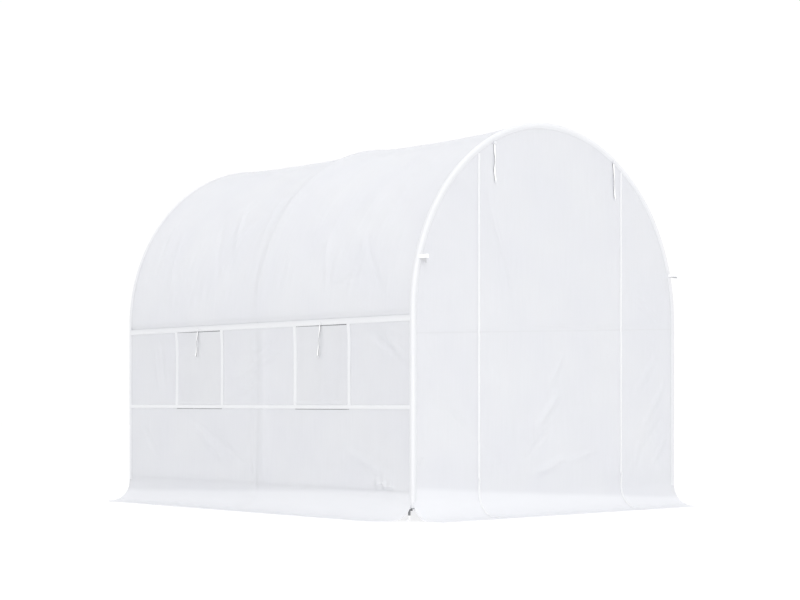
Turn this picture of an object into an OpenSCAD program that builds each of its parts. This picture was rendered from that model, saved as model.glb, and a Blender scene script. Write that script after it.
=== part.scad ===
// Walk-in polytunnel greenhouse: three steel hoops joined by straight bars,
// a woven polyethylene cover with a zipped roll-up door and four roll-up windows.
// X runs across the tunnel, Y along it to the back, Z up; the door faces -Y.
// The origin is at the middle of the footprint, on the ground.

/* [Overall size] */
// Width across the outer faces of the cover
cover_w = 2000; // [1600:10:2400]
// Height of the cover at the ridge
cover_h = 2030; // [1850:10:2450]
// Distance from one hoop to the next
bay = 1230; // [1000:10:1500]

/* [Steel frame] */
// Outside diameter of the hoop tube
tube_d = 20; // [16:1:25]
// Outside diameter of the bars that run along the tunnel
bar_d = 16; // [12:1:20]
// Outside diameter of the diagonal braces
brace_d = 12; // [8:1:14]
// Wall thickness of every tube
tube_wall = 1.5; // [1:0.1:2]
// Height of the base bars, where the walls meet the ground flaps
base_bar_z = 141; // [130:1:180]
// Length of the cranked foot below each leg
foot_len = 60; // [40:1:80]
// Diameter of the foot rod
foot_d = 12; // [10:1:14]
// Distance that the foot rod stands outside the leg
foot_crank = 22; // [20:1:26]

/* [Cover] */
// Thickness of the cover sheets
sheet_t = 3; // [1:0.5:4]
// Thickness of tapes, zips, flaps and bindings
trim_t = 2; // [1:0.5:3]
// Radius at which the ground flaps turn outwards
flare_r = 122; // [100:1:125]
// Distance that the ground flaps reach out from the walls
flap_reach = 165; // [140:5:220]
// Width of the binding on the front of each end hoop
binding_w = 25; // [15:1:35]
// Width of the binding on the roof side of each end hoop
binding_side = 12; // [8:1:20]

/* [Wall tapes and windows] */
// Height of the middle of the upper wall tape
top_tape_z = 993; // [900:1:1015]
// Width of the upper wall tape
top_tape_w = 30; // [15:1:30]
// Height of the middle of the lower wall tape
low_tape_z = 556; // [450:1:620]
// Width of the lower wall tape
low_tape_w = 20; // [15:1:30]
// Width of a window across its side tapes
window_w = 460; // [350:5:520]
// Width of a window's side tapes
side_tape_w = 24; // [10:1:30]
// Distance from a window's middle to the middle hoop
window_y = 542; // [450:1:600]
// Overlap of the flap and the mesh over the edge of the window hole
window_lap = 20; // [10:1:30]
// Thickness of the window mesh
mesh_t = 1.5; // [1:0.5:2]

/* [Door] */
// Distance between the middles of the two door zips
door_w = 1090; // [800:10:1200]
// Width of a zip with its tape
zip_w = 15; // [10:1:25]
// Gap between the sheets behind a zip
zip_gap = 1; // [0.5:0.5:3]
// Width of a zip's slider
slider_w = 12; // [8:1:14]

/* [Ties and guy loops] */
// Diameter of the solid that stands for a twisted ribbon tie
tie_d = 8; // [6:1:10]
// Distance from the left zip to the left door tie
left_tie_inset = 100; // [50:5:200]
// Distance from the right zip to the right door tie
right_tie_inset = 75; // [50:5:200]
// Height of the stitched tab that a tie hangs from
tie_tab_h = 14; // [10:1:20]
// Height of the guy loops
guy_z = 1292; // [1150:2:1350]
// Distance that a guy loop stands out from the front
guy_len = 60; // [40:1:80]
// Width of the guy loops' webbing
guy_w = 18; // [15:1:30]
// Distance across a guy loop
guy_spread = 16; // [12:1:24]
// Drop of the left guy loop's folded tail
left_tail = 26; // [5:1:30]
// Drop of the right guy loop's folded tail
right_tail = 9; // [5:1:30]
// Thickness of the guy loops' webbing
guy_t = 2.5; // [1.5:0.5:4]

/* [Hidden] */
$fn = 96;
seat_gap = 0.3;
eps_cut = 1;
far = 4000;

// Cover faces
side_x = cover_w / 2;
spring_z = cover_h - side_x;
end_in = bay + tube_d / 2 + seat_gap;
end_out = end_in + sheet_t;
flare_z = flare_r + sheet_t;

// Hoops, bars and braces
hoop_r = side_x - sheet_t - seat_gap - tube_d / 2;
brace_x = hoop_r - tube_d / 2 - seat_gap - brace_d / 2;
brace_over = 6;
foot_plate_h = 8;
foot_toe = 16;
foot_toe_h = 14;

// Windows and tapes
window_ys = [-window_y, window_y];
flap_w = window_w - 2 * side_tape_w - 2 * seat_gap;
flap_z0 = low_tape_z + low_tape_w / 2 + seat_gap;
flap_z1 = top_tape_z - top_tape_w / 2 - seat_gap;
hole_w = flap_w - 2 * window_lap;
hole_z0 = flap_z0 + window_lap;
hole_z1 = flap_z1 - window_lap;
tape_end = end_out - binding_side - seat_gap;
hem_h = 18;
hem_t = 3;

// Door, zips and their tabs
zip_x = door_w / 2;
zip_clear = 2;
zip_top = spring_z + sqrt(pow(side_x - binding_w, 2) - pow(zip_x + zip_w / 2, 2)) - zip_clear;
zip_reach = flap_reach - 12;
slider_h = 30;
slider_t = 5;
slider_z = 170;
tab_x = [-zip_x + left_tie_inset, zip_x - right_tie_inset];
tab_w = 14;
tab_t = 13;

// Ties: each hangs straight down from its tab, close to the sheet, to its knot.
// Points are (sideways, outwards, down) from the middle of the tab's lower face.
door_tie_left_path = [[0, 0, 0], [0, 0, -14], [1, 0, -30], [3, 0, -48], [5, 0, -66], [5, 0, -84],
    [3, 0, -102], [1, 0, -120], [1, 0, -138], [3, 0, -156], [6, 0, -172], [9, 0, -186]];
door_tie_right_path = [[0, 0, 0], [0, 0, -14], [2, 0, -30], [4, 0, -48], [5, 0, -66], [5, 0, -84],
    [6, 0, -102], [8, 0, -120], [8, 0, -138], [8, 0, -156], [10, 0, -172], [13, 0, -188]];
rear_tie_path = [[0, 0, 0], [0, 0, -14], [3, 0, -30], [8, 0, -46], [10, 0, -62], [9, 0, -78],
    [9, 0, -94], [11, 0, -110], [14, 0, -125], [17, 0, -140]];
front_tie_path = [[0, 0, 0], [0, 0, -14], [3, 0, -30], [7, 0, -46], [9, 0, -62], [10, 0, -78],
    [10, 0, -94], [11, 0, -110], [14, 0, -126], [16, 0, -142], [14, 0, -158]];
tie_sides = 8;

// Guy loops: sewn on the middle of the binding's width, at their height
guy_x = sqrt(pow(side_x - binding_w / 2, 2) - pow(guy_z - spring_z, 2));

// ---------------------------------------------------------------- helpers

// Turns work drawn against the right-hand side (outwards = +X) to face another side.
module facing(side) {
    turn = side == "right" ? 0 : side == "rear" ? 90 : side == "left" ? 180 : -90;
    rotate([0, 0, turn]) children();
}

// Mirrors work drawn against the right-hand side when side is -1, the left-hand side.
module on_side(side) {
    mirror([side < 0 ? 1 : 0, 0, 0]) children();
}

// Stands a flat drawing up, its second axis upwards, with a depth centred on Y.
module upright(depth) {
    rotate([90, 0, 0]) linear_extrude(depth, center = true) children();
}

// Ring that makes a tube when it is extruded or turned.
module ring(d) {
    difference() {
        circle(d = d);
        circle(d = d - 2 * tube_wall);
    }
}

// Straight tube that starts at the origin and rises.
module tube(d, length) {
    linear_extrude(length) ring(d);
}

// Band that runs down a wall, turns outwards and lies on the ground. Its two faces
// lie inner and outer away from the sheet's outer face, which is at the second axis.
module hem_band(inner, outer, top, reach) {
    translate([inner, flare_z]) square([outer - inner, top - flare_z]);
    intersection() {
        translate([flare_r, flare_z]) difference() {
            circle(r = flare_r - inner);
            circle(r = flare_r - outer);
        }
        translate([inner, 0]) square([flare_r - inner, flare_z]);
    }
    translate([flare_r, sheet_t + inner]) square([reach - flare_r, outer - inner]);
}

// Front view of the tunnel above the flaps, with the given outer radius.
module arch_outline(radius) {
    translate([0, spring_z]) circle(radius);
    translate([-radius, flare_z]) square([2 * radius, spring_z - flare_z]);
}

// Points of a ring around a route point, square to the direction given.
function unit(v) = v / norm(v);
function heading(path, i) = unit(path[min(i + 1, len(path) - 1)] - path[max(i - 1, 0)]);
function tie_ring(path, i) =
    let (along = i == 0 ? [0, 0, -1] : heading(path, i), across = unit(cross([0, 1, 0], along)),
        out = cross(along, across))
    [for (k = [0 : tie_sides - 1]) let (a = 360 * k / tie_sides)
        path[i] + tie_d / 2 * (cos(a) * across + sin(a) * out)];

// Ribbon tie as one tube swept down its route.
module tie_tube(path) {
    n = len(path);
    points = [for (i = [0 : n - 1]) each tie_ring(path, i)];
    walls = [for (i = [0 : n - 2], k = [0 : tie_sides - 1])
        let (next = (k + 1) % tie_sides, a = i * tie_sides)
        [a + k, a + next, a + tie_sides + next, a + tie_sides + k]];
    lids = [[for (k = [tie_sides - 1 : -1 : 0]) k],
        [for (k = [0 : tie_sides - 1]) (n - 1) * tie_sides + k]];
    polyhedron(points, concat(walls, lids));
}

// ---------------------------------------------------------------- steel frame

module hoop_arch(y) {
    color("silver") translate([0, y, spring_z]) rotate([90, 0, 0])
        rotate_extrude(angle = 180) translate([hoop_r, 0]) ring(tube_d);
}

// Leg with the cranked foot that stands on the ground outside it.
module hoop_leg(side, y) {
    color("silver") translate([side * hoop_r, y, foot_len]) tube(tube_d, spring_z - foot_len);
    color("dimgray") on_side(side) translate([hoop_r, y, 0]) {
        translate([-tube_d / 2, -foot_d / 2, foot_len - foot_plate_h])
            cube([foot_crank + tube_d / 2 + foot_d / 2, foot_d, foot_plate_h]);
        translate([foot_crank, 0, 0]) cylinder(h = foot_len - foot_plate_h / 2, d = foot_d);
        translate([foot_crank, -foot_d / 2, 0]) cube([foot_toe, foot_d, foot_toe_h]);
    }
}

// Bar in each bay, its ends coped to fit round the hoops.
module bay_bars(x, z, crown) {
    color("silver") for (start = [-bay, 0])
        difference() {
            translate([x, start, z]) rotate([-90, 0, 0]) tube(bar_d, bay);
            for (y = [start, start + bay])
                translate([x, y, z]) rotate([0, crown ? 90 : 0, 0])
                    cylinder(h = 3 * tube_d, d = tube_d + 2 * seat_gap, center = true);
        }
}

// Diagonal across the rear bay, from the middle hoop's base to the rear hoop's shoulder.
module wall_brace(side) {
    rise = spring_z - base_bar_z;
    lean = atan2(bay, rise);
    color("silver") translate([side * brace_x, 0, base_bar_z]) rotate([-lean, 0, 0])
        translate([0, 0, -brace_over]) tube(brace_d, norm([bay, rise]) + 2 * brace_over);
}

// ---------------------------------------------------------------- cover

module roof_cover() {
    color("white") upright(2 * end_in) difference() {
        union() {
            translate([0, spring_z]) circle(side_x);
            translate([-side_x, top_tape_z]) square([cover_w, spring_z - top_tape_z]);
        }
        translate([0, spring_z]) circle(side_x - sheet_t);
        translate([-side_x + sheet_t, 0]) square([cover_w - 2 * sheet_t, spring_z]);
        translate([-side_x - eps_cut, -far]) square([cover_w + 2 * eps_cut, far + top_tape_z]);
    }
}

// Side wall between the ground flap and the roof, with its two window holes.
module side_wall(side) {
    color("white") on_side(side) difference() {
        translate([side_x - sheet_t, -end_in, base_bar_z])
            cube([sheet_t, 2 * end_in, top_tape_z - base_bar_z]);
        for (y = window_ys)
            translate([side_x - 2 * sheet_t, y - hole_w / 2, hole_z0])
                cube([3 * sheet_t, hole_w, hole_z1 - hole_z0]);
    }
}

module rear_wall() {
    color("white") translate([0, end_in + sheet_t / 2, 0]) difference() {
        upright(sheet_t) arch_outline(side_x);
        translate([-far / 2, -far / 2, -far + base_bar_z]) cube(far);
    }
}

// Stretch of the front between two places across the tunnel, with its ground flap.
module front_sheet(x0, x1) {
    color("white") {
        translate([0, -end_in - sheet_t / 2, 0]) intersection() {
            upright(sheet_t) arch_outline(side_x);
            translate([x0, -sheet_t, 0]) cube([x1 - x0, 2 * sheet_t, far]);
        }
        translate([(x0 + x1) / 2, 0, 0]) facing("front") translate([end_out, 0, 0])
            upright(x1 - x0) hem_band(-sheet_t, 0, flare_z + sheet_t, flap_reach);
    }
}

// Ground flap of a side or of the back, as wide as the wall that it hangs from.
module ground_flap(side, distance, width) {
    color("white") facing(side) translate([distance, 0, 0])
        upright(width) hem_band(-sheet_t, 0, base_bar_z, flap_reach);
}

// L-shaped strip folded over the edge of the roof and the edge of an end sheet.
module binding_profile() {
    translate([side_x - binding_w, end_out]) square([binding_w + trim_t, trim_t]);
    translate([side_x + seat_gap, end_out - binding_side])
        square([trim_t - seat_gap, binding_side + trim_t]);
}

module end_binding(side) {
    color("white") facing(side == "front" ? "left" : "right") {
        translate([0, 0, spring_z]) rotate([90, 0, 0]) rotate_extrude(angle = 180)
            mirror([0, 1]) binding_profile();
        for (turn = [0, 1]) mirror([turn, 0, 0])
            translate([0, 0, flare_z]) linear_extrude(spring_z - flare_z) binding_profile();
    }
}

// Upper and lower tape, the windows' side tapes and the tabs that the ties hang from.
module wall_tapes(side) {
    color("white") on_side(side) translate([side_x, 0, 0]) {
        for (tape = [[top_tape_z, top_tape_w], [low_tape_z, low_tape_w]])
            translate([0, -tape_end, tape[0] - tape[1] / 2]) cube([trim_t, 2 * tape_end, tape[1]]);
        for (y = window_ys, edge = [-1, 1])
            translate([0, y + edge * (window_w - side_tape_w) / 2 - side_tape_w / 2, low_tape_z])
                cube([trim_t, side_tape_w, top_tape_z - low_tape_z]);
        for (y = window_ys)
            translate([0, y - tab_w / 2, top_tape_z - top_tape_w / 2]) cube([tab_t, tab_w, tie_tab_h]);
    }
}

module window_mesh(side, y) {
    lap = window_lap / 2;
    color("gainsboro") on_side(side)
        translate([side_x - sheet_t - mesh_t, y - hole_w / 2 - lap, hole_z0 - lap])
            cube([mesh_t, hole_w + 2 * lap, hole_z1 - hole_z0 + 2 * lap]);
}

// Flap that closes a window, with the thicker hem along its lower edge.
module window_flap(side, y) {
    color("whitesmoke") on_side(side) translate([side_x, y - flap_w / 2, flap_z0]) {
        cube([trim_t, flap_w, flap_z1 - flap_z0]);
        cube([hem_t, flap_w, hem_h]);
    }
}

// Zip with its tape, from the binding down over the ground flap, and its slider.
module door_zip(x) {
    color("white") translate([x, 0, 0]) facing("front") translate([end_out, 0, 0]) {
        upright(zip_w) hem_band(0, trim_t, zip_top, zip_reach);
        translate([trim_t, -slider_w / 2, slider_z]) cube([slider_t, slider_w, slider_h]);
    }
}

// ---------------------------------------------------------------- ties and loops

module window_tie(side, y, path) {
    color("white") translate([side * (side_x + tab_t / 2), y, top_tape_z - top_tape_w / 2])
        rotate([0, 0, 90]) tie_tube(path);
}

// Height of the lower face of a door tie's tab, which is sewn on the binding.
function door_tab_z(x) = spring_z + sqrt(pow(side_x - binding_w, 2) - x * x) - tie_tab_h / 2;

module door_tie(x, path) {
    color("white") translate([x, -end_out - trim_t - tab_t / 2, door_tab_z(x)]) tie_tube(path);
}

// Tabs on the front binding that the door ties hang from.
module door_tie_tabs() {
    color("white") for (x = tab_x)
        translate([x - tab_w / 2, -end_out - trim_t - tab_t, door_tab_z(x)])
            cube([tab_w, tab_t, tie_tab_h]);
}

// Webbing loop for a guy line: a strap on edge that runs out from the front binding
// and back, with its tail folded down under the outer leg.
module guy_loop(side, tail) {
    nose = guy_spread / 2;
    color("white") translate([side * guy_x, -end_out - trim_t, guy_z]) rotate([0, 0, -90]) {
        linear_extrude(guy_w, center = true) difference() {
            union() {
                translate([0, -nose]) square([guy_len - nose, guy_spread]);
                translate([guy_len - nose, 0]) circle(nose);
            }
            translate([guy_t, guy_t - nose])
                square([guy_len - nose - guy_t, guy_spread - 2 * guy_t]);
            translate([guy_len - nose, 0]) circle(nose - guy_t);
        }
        translate([0, side * (nose - guy_t / 2), -guy_w / 2])
            rotate([90, 0, 0]) linear_extrude(guy_t, center = true)
                polygon([[0, 0], [0, guy_t], [guy_len - nose, guy_t], [guy_len - nose, -tail]]);
    }
}

// ---------------------------------------------------------------- assembly

hoop_arch(-bay);  // front_arch
hoop_arch(0);  // middle_arch
hoop_arch(bay);  // rear_arch
hoop_leg(-1, -bay);  // front_left_leg
hoop_leg(1, -bay);  // front_right_leg
hoop_leg(-1, 0);  // middle_left_leg
hoop_leg(1, 0);  // middle_right_leg
hoop_leg(-1, bay);  // rear_left_leg
hoop_leg(1, bay);  // rear_right_leg
bay_bars(0, spring_z + hoop_r, true);  // ridge_bars
bay_bars(-hoop_r, spring_z, false);  // left_side_bars
bay_bars(hoop_r, spring_z, false);  // right_side_bars
bay_bars(-hoop_r, base_bar_z, false);  // left_base_bars
bay_bars(hoop_r, base_bar_z, false);  // right_base_bars
wall_brace(-1);  // left_brace
wall_brace(1);  // right_brace
roof_cover();
side_wall(-1);  // left_wall
side_wall(1);  // right_wall
rear_wall();
front_sheet(-side_x, -zip_x - zip_gap / 2);  // front_left_panel
front_sheet(-zip_x + zip_gap / 2, zip_x - zip_gap / 2);  // door_sheet
front_sheet(zip_x + zip_gap / 2, side_x);  // front_right_panel
ground_flap("left", side_x, 2 * end_in);  // left_ground_flap
ground_flap("right", side_x, 2 * end_in);  // right_ground_flap
ground_flap("rear", end_out, cover_w);  // rear_ground_flap
union() {  // front_binding
    end_binding("front");
    door_tie_tabs();
}
end_binding("rear");  // rear_binding
wall_tapes(-1);  // left_wall_tapes
wall_tapes(1);  // right_wall_tapes
door_zip(-zip_x);  // left_zip
door_zip(zip_x);  // right_zip
window_mesh(-1, -window_y);  // left_front_window_mesh
window_mesh(-1, window_y);  // left_rear_window_mesh
window_mesh(1, -window_y);  // right_front_window_mesh
window_mesh(1, window_y);  // right_rear_window_mesh
window_flap(-1, -window_y);  // left_front_window_flap
window_flap(-1, window_y);  // left_rear_window_flap
window_flap(1, -window_y);  // right_front_window_flap
window_flap(1, window_y);  // right_rear_window_flap
window_tie(-1, -window_y, front_tie_path);  // left_front_window_tie
window_tie(-1, window_y, rear_tie_path);  // left_rear_window_tie
window_tie(1, -window_y, front_tie_path);  // right_front_window_tie
window_tie(1, window_y, rear_tie_path);  // right_rear_window_tie
door_tie(tab_x[0], door_tie_left_path);  // left_door_tie
door_tie(tab_x[1], door_tie_right_path);  // right_door_tie
guy_loop(-1, left_tail);  // left_guy_loop
guy_loop(1, right_tail);  // right_guy_loop
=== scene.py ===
"""Looks of the walk-in tunnel greenhouse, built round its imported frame.

X runs across the tunnel, Y along it to the back and Z up, and the door faces -Y.
Lengths are metres. A place on one side of the cover is given as t, along that side,
and s, up the cloth from the edge of its ground flap.
"""

import math
from functools import partial

import bmesh
import bpy
import numpy as np
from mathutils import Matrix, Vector


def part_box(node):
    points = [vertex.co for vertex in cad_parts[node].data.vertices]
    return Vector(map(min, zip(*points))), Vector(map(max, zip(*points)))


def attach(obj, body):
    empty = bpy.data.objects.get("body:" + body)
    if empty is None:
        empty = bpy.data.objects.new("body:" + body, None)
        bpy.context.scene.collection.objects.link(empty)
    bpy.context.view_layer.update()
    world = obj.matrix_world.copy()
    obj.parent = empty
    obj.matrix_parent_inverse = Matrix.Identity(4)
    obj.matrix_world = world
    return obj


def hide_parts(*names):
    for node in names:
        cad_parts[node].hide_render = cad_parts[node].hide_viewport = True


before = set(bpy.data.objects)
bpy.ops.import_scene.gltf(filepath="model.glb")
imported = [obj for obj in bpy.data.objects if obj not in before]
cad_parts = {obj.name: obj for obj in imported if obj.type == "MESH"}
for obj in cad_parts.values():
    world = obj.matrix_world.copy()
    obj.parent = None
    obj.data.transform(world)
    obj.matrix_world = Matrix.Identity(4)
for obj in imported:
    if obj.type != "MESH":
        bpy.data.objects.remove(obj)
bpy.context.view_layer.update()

# ---- sizes taken from the frame

ROOF_LOW, ROOF_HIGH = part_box("roof_cover")
TAPE_LOW, TAPE_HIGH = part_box("left_wall_tapes")
FLAP_LOW, FLAP_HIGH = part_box("left_front_window_flap")
MESH_LOW, MESH_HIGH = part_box("left_front_window_mesh")
ZIP_LOW, ZIP_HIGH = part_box("right_zip")
DOOR_LOW, DOOR_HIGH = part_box("door_sheet")

SIDE = ROOF_HIGH.x  # outer face of the side walls
END = ROOF_HIGH.y  # where the roof and the side walls stop
END_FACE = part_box("rear_wall")[1].y  # outer face of the end sheets
CAD_SHEET = END_FACE - END
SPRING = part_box("front_left_leg")[1].z  # where the arch starts
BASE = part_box("left_wall")[0].z  # seam between wall and ground flap
SEAM = ROOF_LOW.z  # seam between wall and roof
REACH = -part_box("left_ground_flap")[0].x - SIDE
BAY = sum(corner.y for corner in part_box("rear_arch")) / 2
WINDOW_Y = -(FLAP_LOW.y + FLAP_HIGH.y) / 2
FLAP_W = FLAP_HIGH.y - FLAP_LOW.y
ZIP_X = (ZIP_LOW.x + ZIP_HIGH.x) / 2
ZIP_W = ZIP_HIGH.x - ZIP_LOW.x

# ---- sizes of the soft goods

MM = 0.001
FLARE_R = 0.122  # radius at which the cloth turns out over the ground
FLAT = REACH - FLARE_R  # part of a ground flap that lies flat
STRAIGHT = FLAT + FLARE_R * math.pi / 2  # where the upright cloth starts, along s
RISE = STRAIGHT - FLARE_R - CAD_SHEET  # s of a point on the upright cloth, less its height
TOP_TAPE_W = 2 * (TAPE_HIGH.z - SEAM)
TUCK = TOP_TAPE_W / 2 + 0.002  # height over the seam where the roof is drawn in, above the tape
LOW_TAPE_W = 0.020
LOW_TAPE_Z = TAPE_LOW.z + LOW_TAPE_W / 2
SIDE_TAPE_W = 0.024
BINDING_FACE = 0.025  # width of a binding over the end sheet
BINDING_SIDE = 0.020  # and back over the roof and walls
BINDING_ROUND = 0.006
BINDING_FULL = 0.0045  # how far a binding stands out in its middle
# Painted highlight: the binding is painted lightest along this line.
BINDING_HIGHLIGHT = 0.005  # its lightest line, in from the corner
BINDING_FOOT = {"front": 0.066, "rear": 0.125}  # height at which each binding starts
CORNER = {"left": (0.200, 0.150), "front": (0.050, 0.080)}  # rounding of the flaps' ends, along and across
# Painted light and shade on the feet: painted near white below the upper height, with a dark band of painted
# shade between the two heights on the left feet's outer face.
FOOT_SHADE_BAND = (0.030, 0.060)  # heights between which the left feet are dark
FOOT_SHADE_EDGE = -0.993  # where their dark outer face ends
WINDOW_LAP = 0.020
HEM_H = 0.018
HOOKS_H = 0.012
RIBBON_W = 0.010
RIBBON_T = 0.0007
STRAP_W = 0.018
STRAP_T = 0.0022
TAIL_LAP = 0.003
STITCH = 0.004
STITCH_W = 0.001
STITCH_PITCH = 0.007
TOOTH = 0.0022
TOOTH_PITCH = 0.0036
SLIDER_Z = 0.191
SHEET = 0.0018  # thickness of the cover
STRIP = 0.0010  # thickness of the tapes and the window film
STRIP_OFF = 0.0014  # how far their edges stand off the cover
CELL = 0.011  # size of the grid of the walls and flaps
END_CELL = 0.0105
TAPE_CELL = 0.020


# ---- camera, light and floor

def show(obj):
    """Puts a new object into the scene."""
    bpy.context.scene.collection.objects.link(obj)


def make_camera():
    """Stands at the height of a crouching person, off the front left corner."""
    camera = bpy.data.objects.new("camera", bpy.data.cameras.new("camera"))
    camera.location = (-6.658, -7.424, 0.5815)
    camera.rotation_euler = (math.radians(90), 0, math.radians(-42.065))
    camera.data.lens = 77.54
    camera.data.shift_x = -0.0003
    camera.data.shift_y = 0.1276
    show(camera)
    bpy.context.scene.camera = camera


def area_light(name, place, aim, size, power):
    light = bpy.data.objects.new(name, bpy.data.lights.new(name, "AREA"))
    light.data.size = size
    light.data.energy = power
    light.location = place
    light.rotation_euler = (Vector(aim) - Vector(place)).to_track_quat("-Z", "Y").to_euler()
    show(light)


def make_studio():
    """White surroundings, a soft lamp off the front left corner, another overhead, and a pale light table."""
    scene = bpy.context.scene
    scene.view_settings.view_transform = "Standard"
    scene.cycles.use_denoising = True
    scene.cycles.max_bounces = 16
    scene.cycles.diffuse_bounces = 8
    scene.cycles.transmission_bounces = 12
    world = bpy.data.worlds.new("studio")
    world.use_nodes = True
    sky = world.node_tree.nodes["Background"].inputs
    sky["Color"].default_value = (1, 1, 1, 1)
    sky["Strength"].default_value = 1.02
    scene.world = world
    area_light("key", (-10.6, -14.8, 5.6), (0, 0, 1), 5.0, 720)
    area_light("overhead", (-0.8, 0, 8.0), (0, 0, 2), 5.0, 88)
    bpy.ops.mesh.primitive_plane_add(size=60)
    floor = bpy.context.object
    floor.name = "floor"
    floor.data.materials.append(FLOOR)


# ---- materials

def linear(code):
    """An sRGB hex colour as linear light, with full alpha."""
    parts = [int(code[at:at + 2], 16) / 255 for at in (0, 2, 4)]
    return [c / 12.92 if c <= 0.04045 else ((c + 0.055) / 1.055) ** 2.4 for c in parts] + [1.0]


def add(tree, kind, links=None, **settings):
    """Adds a node; settings are its properties, and links give its inputs values or outputs."""
    made = tree.nodes.new("ShaderNode" + kind)
    for name, value in settings.items():
        setattr(made, name, value)
    for name, value in (links or {}).items():
        if isinstance(value, bpy.types.NodeSocket):
            tree.links.new(value, made.inputs[name])
        else:
            made.inputs[name].default_value = value
    return made


def new_material(name):
    """A material with an empty tree, and its output node."""
    made = bpy.data.materials.new(name)
    made.use_nodes = True
    made.node_tree.nodes.clear()
    return made, made.node_tree, add(made.node_tree, "OutputMaterial")


def pattern(tree, source, sizes, detail=2.0):
    """Noise whose marks have these sizes in metres along the axes of the source."""
    scaled = add(tree, "Mapping", {"Vector": source, "Scale": [1 / size for size in sizes]})
    return add(tree, "TexNoise", {"Vector": scaled.outputs[0], "Scale": 1.0, "Detail": detail}).outputs[0]


def between(tree, factor, low, high, start=0.3, stop=0.7):
    """A colour from the code low to high as the factor goes from start to stop."""
    ramp = add(tree, "ValToRGB", {"Fac": factor})
    for mark, place, code in zip(ramp.color_ramp.elements, (start, stop), (low, high)):
        mark.position = place
        mark.color = linear(code)
    return ramp.outputs[0]


def compute(tree, operation, *values):
    """The result of a maths node."""
    return add(tree, "Math", dict(enumerate(values)), operation=operation).outputs[0]


def blend(tree, factor, low, high, how="MIX"):
    """The colour low at factor 0, and high at 1, or low times high."""
    return add(tree, "Mix", {"Factor": factor, 6: low, 7: high}, data_type="RGBA", blend_type=how).outputs[2]


def bumps(tree, height, strength, depth):
    """The normal of a surface with this height on it."""
    return add(tree, "Bump", {"Height": height, "Strength": strength, "Distance": depth}).outputs[0]


def opaque(tree, out, colour, roughness, more):
    """An opaque surface, joined to the material's output."""
    shader = add(tree, "BsdfPrincipled", {"Base Color": colour, "Roughness": roughness, **more})
    tree.links.new(shader.outputs[0], out.inputs[0])


def plain_weave(tree, source, pitch):
    """Height of flat threads that pass over and under each other, pitch apart."""
    scale = math.pi / 10 / pitch
    threads = [add(tree, "TexWave", {"Vector": source, "Scale": scale}, bands_direction=axis).outputs["Fac"]
               for axis in ("X", "Y")]
    return compute(tree, "MULTIPLY", *threads)


def woven_cloth(name, light, dark, through_share, clear_share, pitch, streak,
                gloss=0.6, shade=None, line=None):
    """White woven plastic cloth that lets part of the light through.

    light and dark are the two tones of its threads. through_share of the light is scattered
    through them, and clear_share passes straight through. streak is (width, length) of the
    uneven threads that show as fine upright lines, and pitch is the thread spacing.
    shade is (start, stop, tone, slant): painted light and shade, the tone that the cloth takes on along its
    UV's second axis, where slant is how much the start rises per metre along the first axis. line is
    (middle, half width, tone, slant) of a thin line of painted shadow across the cloth, in the same terms.
    """
    made, tree, out = new_material(name)
    flat = add(tree, "TexCoord").outputs["UV"]
    threads = pattern(tree, flat, (*streak, 1))
    mottle = pattern(tree, flat, (0.32, 0.32, 1), 1.0)
    tone = between(tree, threads, dark, light)
    patches = between(tree, mottle, "FDFDFE", "FFFFFF", 0.35, 0.65)
    colour = blend(tree, 1.0, tone, patches, "MULTIPLY")

    def across(slant):
        return add(tree, "VectorMath", {0: flat, 1: (-slant, 1, 0)}, operation="DOT_PRODUCT").outputs["Value"]

    # Painted light and shade: a tone along the UV's second axis.
    if shade:
        share = add(tree, "MapRange", {"Value": across(shade[3]), "From Min": shade[0],
                                       "From Max": shade[1]}).outputs[0]
        colour = blend(tree, share, colour, linear(shade[2]))
    # Painted shadow: a thin line across the cloth.
    if line:
        mark = compute(tree, "COMPARE", across(line[3]), line[0], line[1])
        colour = blend(tree, mark, colour, linear(line[2]))
    normal = bumps(tree, plain_weave(tree, flat, pitch), 0.25, 0.0004)
    front = add(tree, "BsdfPrincipled", {"Base Color": colour, "Roughness": gloss, "IOR": 1.5,
                                         "Specular IOR Level": 0.3, "Normal": normal})
    back = add(tree, "BsdfTranslucent", {"Color": linear("F6F6F8"), "Normal": normal})
    clear = add(tree, "BsdfTransparent")
    both = add(tree, "MixShader", {"Fac": through_share, 1: front.outputs[0], 2: back.outputs[0]})
    whole = add(tree, "MixShader", {"Fac": clear_share, 1: both.outputs[0], 2: clear.outputs[0]})
    tree.links.new(whole.outputs[0], out.inputs[0])
    return made


def make_galvanised_steel():
    """Galvanised steel tube: pale zinc with a faint spangle, feet painted near white as painted light, and on
    the left ones a dark band of painted shade outside.
    """
    made, tree, out = new_material("galvanised_steel")
    place = add(tree, "TexCoord").outputs["Object"]
    spangle = add(tree, "TexVoronoi", {"Vector": place, "Scale": 1 / 0.012}).outputs["Color"]
    zinc = between(tree, spangle, "AAAEB1", "BEC1C4", 0.2, 0.8)
    parts = add(tree, "SeparateXYZ", {"Vector": place}).outputs
    above = compute(tree, "GREATER_THAN", parts["Z"], FOOT_SHADE_BAND[0])
    below = compute(tree, "LESS_THAN", parts["Z"], FOOT_SHADE_BAND[1])
    outer = compute(tree, "LESS_THAN", parts["X"], FOOT_SHADE_EDGE)
    shade_band = compute(tree, "MULTIPLY", compute(tree, "MULTIPLY", above, below), outer)
    scuffs = pattern(tree, place, (0.006, 0.006, 0.02), 4.0)
    painted_shade_tone = between(tree, scuffs, "6C6E70", "828486")
    # Painted light and shade: feet painted near white, with a band of painted shade on the left feet's outer
    # face.
    colour = blend(tree, shade_band, blend(tree, below, zinc, linear("FAFAFB")), painted_shade_tone)
    opaque(tree, out, colour, 0.42, {"Metallic": 0.5, "Normal": bumps(tree, scuffs, 0.15, 0.0003)})
    return made


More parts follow.
